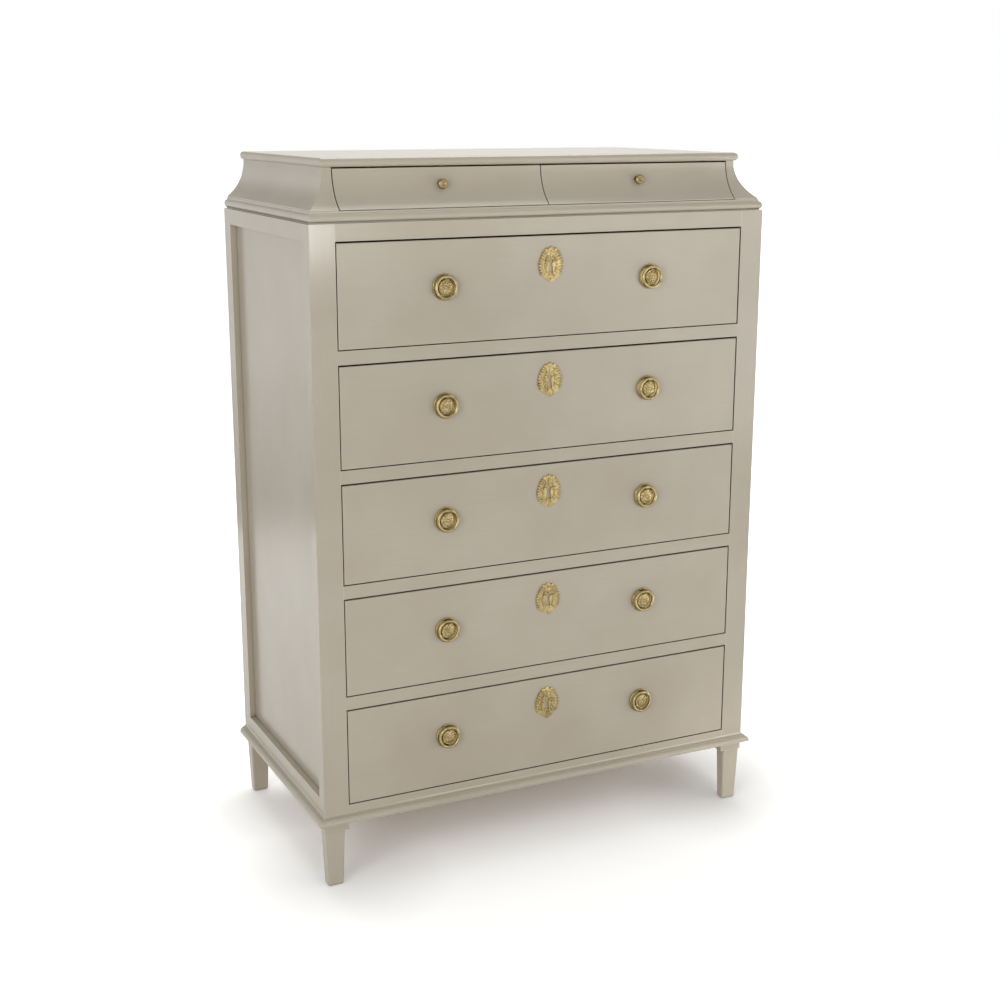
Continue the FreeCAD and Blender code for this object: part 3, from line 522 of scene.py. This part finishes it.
def dress_drawers(ply, brass, gilt):
    """The drawers: painted fronts, bare boxes and brass hardware."""
    paint_front = painted("paint_front", LEVEL, drawer_front=True)
    birch = bare_wood("drawer_birch", LEVEL, DRAWER_WOOD, DRAWER_WOOD_GRAIN)
    knob_brass = aged_brass("knob_brass", KNOB_BRASS, BRASS, BRASS_TARNISH, BRASS_POLISH, KNOB_HOLLOW_REACH)
    for drawer in LONG_DRAWERS + SMALL_DRAWERS:
        dress(paint_front, drawer + "_front")
        dress(birch, drawer + "_box")
        dress(ply, drawer + "_bottom")
    for drawer in LONG_DRAWERS:
        dress(brass, drawer + "_pull_plates", drawer + "_ring_left", drawer + "_ring_right")
        dress(gilt, drawer + "_escutcheon")
    for drawer in SMALL_DRAWERS:
        dress(knob_brass, drawer + "_knob")


def pick(piece, rule):
    """Selects the points of an opened piece that a rule takes."""
    bpy.ops.mesh.select_all(action="DESELECT")
    mesh = bmesh.from_edit_mesh(piece.data)
    for point in mesh.verts:
        point.select = rule(point.co)
    mesh.select_flush_mode()
    bmesh.update_edit_mesh(piece.data)


def started(name):
    """Names the primitive that was just added and opens it for shaping."""
    piece = bpy.context.object
    piece.name = name
    bpy.ops.object.mode_set(mode="EDIT")
    return piece


def held(piece):
    """Makes a piece the one that the next operators act on."""
    bpy.context.view_layer.objects.active = piece
    piece.select_set(True)
    return piece


def added(name, data):
    """A new piece around a mesh or a curve, held for the next operators."""
    piece = bpy.data.objects.new(name, data)
    bpy.context.collection.objects.link(piece)
    return held(piece)


def stand_up():
    """Turns what is selected from lying flat to standing upright, about the origin."""
    bpy.ops.transform.rotate(value=math.pi / 2, orient_axis="X", center_override=(0, 0, 0))


def push_out(distance):
    """Extrudes what is selected towards the front."""
    bpy.ops.mesh.extrude_region_move(TRANSFORM_OT_translate={"value": (0, -distance, 0)})


def face_outwards():
    """Turns all the faces of an opened piece outwards."""
    bpy.ops.mesh.select_all(action="SELECT")
    bpy.ops.mesh.normals_make_consistent(inside=False)


def closed(piece, sharp_turn=SHARP_TURN):
    """Ends the shaping of a piece: smooth, but for its sharp edges."""
    bpy.ops.object.mode_set(mode="OBJECT")
    bpy.ops.object.shade_smooth_by_angle(angle=math.radians(sharp_turn))
    bpy.ops.object.select_all(action="DESELECT")
    return piece


def copied(piece, matrix):
    """A copy of a piece with its own mesh, moved to its place."""
    twin = piece.copy()
    twin.data = piece.data.copy()
    twin.data.transform(matrix)
    bpy.context.collection.objects.link(twin)
    return twin


def joined(name, pieces):
    """Several pieces made into one."""
    bpy.ops.object.select_all(action="DESELECT")
    for piece in pieces:
        piece.select_set(True)
    bpy.context.view_layer.objects.active = pieces[0]
    bpy.ops.object.join()
    pieces[0].name = name
    bpy.ops.object.select_all(action="DESELECT")
    return pieces[0]


def cut_by(piece, cutter):
    """Cuts a solid out of a piece."""
    held(piece)
    cut = piece.modifiers.new("cut", "BOOLEAN")
    cut.object = cutter
    cut.operation = "DIFFERENCE"
    cut.solver = "EXACT"
    bpy.ops.object.modifier_apply(modifier=cut.name)
    return closed(piece)


def remove(*pieces):
    """Takes away the patterns that copies were made from."""
    for piece in pieces:
        bpy.data.objects.remove(piece)


def evenly(first, last, count):
    """Turns spaced evenly from the first to the last."""
    return [first + (last - first) * number / (count - 1) for number in range(count)]


def on_face(x, out, z, turn=0.0, slope=0.0):
    """A place on the face: up is turned clockwise from z, and the tip leans back by a slope."""
    turned = Matrix.Rotation(math.radians(turn), 4, "Y")
    sloped = Matrix.Rotation(math.radians(-slope), 4, "X")
    return Matrix.Translation((x, -out, z)) @ turned @ sloped


def leaf(name, size, tip=LEAF_TIP):
    """A leaf that stands up along z, narrowed to its tip, with a sunk rib down its face."""
    width, height, length = size
    bpy.ops.mesh.primitive_uv_sphere_add(segments=LEAF_SEGMENTS, ring_count=LEAF_RINGS, radius=1)
    piece = started(name)
    bpy.ops.transform.resize(value=(width / 2, height, length / 2))
    pick(piece, lambda point: length * LEAF_NARROWED_FROM < point.z < length * LEAF_NARROWED_TO)
    bpy.ops.transform.resize(value=(tip, 1, 1), center_override=(0, 0, 0))
    rib_half_width = width * LEAF_RIB_HALF_WIDTH
    pick(piece, lambda point: abs(point.x) < rib_half_width and point.y < -height * LEAF_RIB_START)
    bpy.ops.transform.translate(value=(0, height * LEAF_RIB, 0))
    return closed(piece)


def button(name, radius):
    """A flattened ball, as a berry or the head of a tack."""
    bpy.ops.mesh.primitive_uv_sphere_add(segments=BUTTON_SEGMENTS, ring_count=BUTTON_RINGS, radius=radius)
    piece = started(name)
    bpy.ops.transform.resize(value=(1, BUTTON_FLATNESS, 1))
    return closed(piece)


def rosette_rim():
    """The raised ring round the leaves of a rosette."""
    bpy.ops.mesh.primitive_torus_add(
        major_radius=ROSETTE_RIM_RADIUS,
        minor_radius=ROSETTE_RIM_WIRE,
        major_segments=ROSETTE_RIM_SEGMENTS,
        minor_segments=ROSETTE_WIRE_SEGMENTS,
    )
    rim = started("rosette_rim")
    stand_up()
    bpy.ops.transform.translate(value=(0, -ROSETTE_RIM_OUT, 0))
    return closed(rim)


def rosette():
    """The leaf rosette on the boss of a pull: a ring of leaves, a rim and a middle button."""
    pattern = leaf("rosette_leaf", ROSETTE_LEAF)
    pieces = []
    for number in range(ROSETTE_LEAVES):
        turn = 360 * number / ROSETTE_LEAVES
        across = ROSETTE_LEAF_MIDDLE * math.sin(math.radians(turn))
        up = ROSETTE_LEAF_MIDDLE * math.cos(math.radians(turn))
        pieces.append(copied(pattern, on_face(across, ROSETTE_LEAF_OUT, up, turn, ROSETTE_LEAF_SLOPE)))
    pieces.append(rosette_rim())
    middle = button("rosette_button", BUTTON_RADIUS)
    pieces.append(copied(middle, on_face(0, BUTTON_OUT, 0)))
    remove(pattern, middle)
    return joined("rosette", pieces)


def shield(turn, margin):
    """A point of the key plate's outline: an oval, drawn in under its crest, with a pointed foot."""
    angle = math.radians(turn)
    along = math.cos(angle)
    shoulder = KEY_PLATE_SHOULDER - KEY_PLATE_SHOULDER_SLOPE * along
    widest = min(KEY_PLATE_POINT * (1 + along), shoulder)
    side = max(-widest, min(widest, math.sin(angle)))
    across = (KEY_PLATE_HALF_WIDTH - margin) * side
    up = (KEY_PLATE_HALF_HEIGHT - margin) * along
    return across, up


def shield_facing(turn, margin):
    """The direction straight out of the outline, clockwise from up."""
    before = shield(turn - 1, margin)
    after = shield(turn + 1, margin)
    return math.degrees(math.atan2(before[1] - after[1], after[0] - before[0]))


def on_shield(pattern, turn, margin, out, lean=0.0):
    """A copy of a pattern inside the key plate's outline, pointing outwards but for its lean."""
    across, up = shield(turn, margin)
    return copied(pattern, on_face(across, out, up, shield_facing(turn, margin) + lean))


def key_plate_back():
    """The thin plate under the ornament: a shield, thickened and rounded up to its middle."""
    bpy.ops.mesh.primitive_circle_add(vertices=KEY_PLATE_POINTS, radius=1, fill_type="NGON")
    piece = started("key_plate_back")
    stand_up()
    bpy.ops.object.mode_set(mode="OBJECT")
    for point in piece.data.vertices:
        turn = math.degrees(math.atan2(point.co.x, point.co.z))
        plain = (abs(turn) - EDGE_LAST_TURN) / (PLAIN_EDGE_TURN - EDGE_LAST_TURN)
        across, up = shield(turn, EDGE_LEAF_MARGIN * (1 - max(0, min(1, plain))))
        point.co = (across, 0, up)
    bpy.ops.object.mode_set(mode="EDIT")
    bpy.ops.mesh.select_all(action="SELECT")
    push_out(KEY_PLATE_THICKNESS)
    push_out(FIELD_OUT - KEY_PLATE_THICKNESS)
    bpy.ops.transform.resize(value=(FIELD_SHARE, 1, FIELD_SHARE), center_override=(0, 0, 0))
    face_outwards()
    return closed(piece)


def keyhole_outline():
    """Points round the keyhole: a round head over a narrow waist that widens to its foot."""
    points = []
    for step in range(-KEYHOLE_HEAD_STEPS, KEYHOLE_HEAD_STEPS + 1):
        angle = math.radians(KEYHOLE_HEAD_TURN * step / KEYHOLE_HEAD_STEPS)
        points.append((KEYHOLE_RADIUS * math.sin(angle), KEYHOLE_RISE + KEYHOLE_RADIUS * math.cos(angle)))
    waist = KEYHOLE_RISE - KEYHOLE_WAIST_DROP
    foot = KEYHOLE_RISE - KEYHOLE_LENGTH
    points.append((KEYHOLE_HALF_WAIST, waist))
    points.append((KEYHOLE_HALF_FOOT, foot))
    points.append((-KEYHOLE_HALF_FOOT, foot))
    points.append((-KEYHOLE_HALF_WAIST, waist))
    return points


def keyhole_cutter():
    """A solid of the keyhole's shape, for cutting the plate."""
    mesh = bpy.data.meshes.new("keyhole_cutter")
    points = keyhole_outline()
    mesh.from_pydata([(x, KEYHOLE_RADIUS, z) for x, z in points], [], [list(range(len(points)))])
    cutter = added("keyhole_cutter", mesh)
    bpy.ops.object.mode_set(mode="EDIT")
    bpy.ops.mesh.select_all(action="SELECT")
    push_out(KEYHOLE_CUTTER_DEPTH)
    face_outwards()
    return closed(cutter)


def keyhole_rim():
    """The raised rim round the keyhole, a wire bent to its outline."""
    curve = bpy.data.curves.new("keyhole_rim", "CURVE")
    curve.dimensions = "3D"
    curve.bevel_depth = KEYHOLE_RIM
    curve.bevel_resolution = KEYHOLE_RIM_ROUNDNESS
    spline = curve.splines.new("POLY")
    points = keyhole_outline()
    spline.points.add(len(points) - 1)
    widened = 1 + KEYHOLE_RIM / KEYHOLE_RADIUS
    for target, (x, z) in zip(spline.points, points):
        up = KEYHOLE_RISE + (z - KEYHOLE_RISE) * KEYHOLE_RIM_LENGTHENED
        target.co = (x * widened, -FIELD_OUT, up, 1)
    spline.use_cyclic_u = True
    added("keyhole_rim", curve)
    bpy.ops.object.convert(target="MESH")
    return closed(bpy.context.view_layer.objects.active, WIRE_SHARP_TURN)


def key_plate_ornament():
    """Leaves round the key plate's edge and crest, berries inside, scrolls and rays round the keyhole."""
    pieces = []
    edge_leaf = leaf("edge_leaf", EDGE_LEAF, LOBE_TIP)
    crest_leaf = leaf("crest_leaf", CREST_LEAF, LOBE_TIP)
    berry = button("berry", BERRY_RADIUS)
    scroll_leaf = leaf("scroll_leaf", SCROLL_LEAF)
    ray_leaf = leaf("ray_leaf", RAY_LEAF)
    tack = button("tack", TACK_RADIUS)
    for side in (-1, 1):
        for turn in evenly(EDGE_FIRST_TURN, EDGE_LAST_TURN, EDGE_LEAVES):
            pieces.append(on_shield(edge_leaf, side * turn, EDGE_LEAF_MARGIN, KEY_PLATE_THICKNESS))
        for turn in evenly(BERRY_FIRST_TURN, BERRY_LAST_TURN, BERRIES):
            pieces.append(on_shield(berry, side * turn, BERRY_MARGIN, FIELD_OUT))
        for turn in evenly(SCROLL_FIRST_TURN, SCROLL_LAST_TURN, SCROLLS):
            pieces.append(on_shield(scroll_leaf, side * turn, SCROLL_MARGIN, FIELD_OUT, side * SCROLL_LEAN))
    for turn in CREST_TURNS:
        pieces.append(on_shield(crest_leaf, turn, CREST_MARGIN, KEY_PLATE_THICKNESS))
    for turn in evenly(-RAY_LAST_TURN, RAY_LAST_TURN, RAYS):
        pieces.append(on_shield(ray_leaf, turn, RAY_MARGIN, FIELD_OUT))
    for up in (-TACK_UP, TACK_UP):
        pieces.append(copied(tack, on_face(0, FIELD_OUT + KEY_PLATE_THICKNESS / 2, up)))
    remove(edge_leaf, crest_leaf, berry, scroll_leaf, ray_leaf, tack)
    return pieces


def key_plate():
    """The cast key plate: a plate cut by its keyhole, a rim round the hole and the ornament."""
    ornament = key_plate_ornament()
    cutter = keyhole_cutter()
    plate = cut_by(key_plate_back(), cutter)
    remove(cutter)
    return joined("key_plate", [plate, keyhole_rim()] + ornament)


def settle(piece, name, body, material, matrix):
    """A copy of a pattern in its place on a drawer, named, finished and riding with the drawer."""
    twin = copied(piece, matrix)
    twin.name = name
    twin.data.name = name
    twin.data.materials.clear()
    twin.data.materials.append(material)
    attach(twin, body)
    return twin


def middle_of(node):
    """The middle of a node's box as seen from the front, across and up."""
    low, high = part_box(node)
    return (low[0] + high[0]) / 2, (low[2] + high[2]) / 2


def fit_ornament(brass, gilt):
    """Rosettes on the pulls and a cast key plate on every long drawer."""
    flower = rosette()
    plate = key_plate()
    for body in LONG_DRAWERS:
        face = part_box(body + "_front")[0][1]
        pull_up = middle_of(body + "_pull_plates")[1]
        for side in SIDES:
            across = middle_of("%s_ring_%s" % (body, side))[0]
            place = Matrix.Translation((across, face, pull_up))
            settle(flower, "%s_rosette_%s" % (body, side), body, brass, place)
        across, up = middle_of(body + "_escutcheon")
        place = Matrix.Translation((across, face, up))
        cast = settle(plate, body + "_key_plate", body, gilt, place)
        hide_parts(body + "_escutcheon")
    remove(flower, plate)


def floor_glow(finish):
    """The floor's own light: to the eye dim under the chest and round its feet as a painted shadow, in sheen
    by the distance as a painted reflection.
    """
    path = finish.add("LightPath", {}).outputs
    # Painted shadow: to the eye the glow is dimmed near the line under the chest and round each foot
    beside = finish.vector("ABSOLUTE", finish.vector("SUBTRACT", finish.place, FLOOR_SHADOW_MIDDLE))
    beyond = finish.vector("MAXIMUM", finish.vector("SUBTRACT", beside, FLOOR_SHADOW_HALF_LENGTH), (0, 0, 0))
    shown = finish.ramp(finish.vector("LENGTH", beyond), FLOOR_SEEN, FLOOR_REACH)
    from_foot = finish.vector("SUBTRACT", finish.vector("ABSOLUTE", finish.place), FOOT_PLACE)
    foot_shadow = finish.span(finish.vector("LENGTH", from_foot), 0.0, FOOT_SHADOW_REACH, FOOT_SHADOW, 0.0)
    shown = finish.number("SUBTRACT", shown, foot_shadow)
    # Painted reflection: the floor's glow in sheen by the distance from the middle, with a dark ring
    sheen = finish.ramp(finish.vector("LENGTH", finish.place), FLOOR_IN_SHEEN, FLOOR_REACH)
    to_the_eye = finish.number("MULTIPLY", path["Is Camera Ray"], shown)
    in_sheen = finish.number("MULTIPLY", path["Is Glossy Ray"], sheen)
    return finish.number("ADD", to_the_eye, in_sheen)


def lay_floor():
    """A pale floor that fades to white and keeps the shadow of the chest, deepened by a painted shadow in its
    glow.
    """
    bpy.ops.mesh.primitive_grid_add(
        x_subdivisions=FLOOR_SQUARES, y_subdivisions=FLOOR_SQUARES, size=FLOOR_SIZE)
    floor = bpy.context.object
    floor.name = "studio_floor"
    finish = Finish("studio_floor")
    finish.shade(
        Base_Color=seen(FLOOR_PALE),
        Roughness=finish.span(finish.noise(FLOOR_MOTTLE), 0.3, 0.7, to_low=0.70, to_high=0.80),
        Emission_Color=WHITE,
        Emission_Strength=floor_glow(finish),
    )
    floor.data.materials.append(finish.material)


def light_room():
    """A white room: plain white to the eye, even light on the chest, and a dark doorway in its sheen."""
    world = bpy.data.worlds.new("studio")
    bpy.context.scene.world = world
    world.use_nodes = True
    sky = Nodes(world.node_tree)
    path = sky.add("LightPath", {}).outputs
    straight = sky.number("MAXIMUM", path["Is Camera Ray"], path["Is Transmission Ray"])
    direction = sky.add("TexCoord", {}).outputs["Object"]
    towards = sky.vector("DOT_PRODUCT", direction, Vector(DOORWAY).normalized())
    doorway = sky.span(towards, DOORWAY_START, DOORWAY_DARKEST, to_low=1.0, to_high=DOORWAY_SHADE)
    shown = sky.add("Background", {"Color": WHITE, "Strength": sky.number("MAXIMUM", straight, doorway)})
    lit = sky.add("Background", {"Color": WHITE, "Strength": WORLD_LIGHT})
    either = sky.add("MixShader", {"Fac": sky.number("MAXIMUM", straight, path["Is Glossy Ray"])})
    # Both shader sockets of this node have the same name, so they go by number
    sky.set(either.inputs[1], lit.outputs[0])
    sky.set(either.inputs[2], shown.outputs[0])
    sky.add("OutputWorld", {"Surface": either.outputs[0]})


def hung_lamp(kind, name, place, aim, power):
    """A lamp of some kind in its place, turned to what it lights."""
    bpy.ops.object.light_add(type=kind, location=place)
    lamp = bpy.context.object
    lamp.name = name
    lamp.data.energy = power
    lamp.rotation_euler = (Vector(aim) - Vector(place)).to_track_quat("-Z", "Y").to_euler()
    return lamp


def hang_lamps():
    """A tall window at the left, a fill, two low lamps, a bright ceiling, a small card and two soft spots."""
    for name, (place, aim, power, (across, down)) in LAMPS.items():
        lamp = hung_lamp("AREA", name, place, aim, power)
        lamp.data.shape = "RECTANGLE"
        lamp.data.size = across
        lamp.data.size_y = down
    for name, (place, aim, power, beam, wider) in SPOTS.items():
        lamp = hung_lamp("SPOT", name, place, aim, power)
        lamp.data.spot_size = math.radians(beam)
        lamp.data.spot_blend = SPOT_SOFTNESS
        lamp.data.shadow_soft_size = SPOT_RADIUS
        lamp.scale = (wider, 1.0, 1.0)


def place_camera():
    """The photograph's viewpoint."""
    turn = (math.radians(CAMERA_TILT), math.radians(CAMERA_ROLL), math.radians(CAMERA_TURN))
    bpy.ops.object.camera_add(location=CAMERA_PLACE, rotation=turn)
    camera = bpy.context.object
    camera.data.sensor_width = CAMERA_SENSOR
    camera.data.lens = CAMERA_LENS
    bpy.context.scene.camera = camera


bpy.ops.object.select_all(action="DESELECT")
bottom_ply = bare_wood("bottom_ply", ACROSS, DRAWER_WOOD, DRAWER_WOOD_GRAIN)
pull_brass = aged_brass("pull_brass", BRASS, BRASS_BRIGHT, BRASS_TARNISH, BRASS_POLISH, PULL_HOLLOW_REACH)
plate_gilt = aged_brass("escutcheon_gilt", GILT, GILT_BRIGHT, GILT_TARNISH, GILT_POLISH, GILT_HOLLOW_REACH)
dress_case(bottom_ply)
dress_drawers(bottom_ply, pull_brass, plate_gilt)
fit_ornament(pull_brass, plate_gilt)
lay_floor()
light_room()
hang_lamps()
place_camera()
bpy.context.scene.view_settings.view_transform = "Standard"
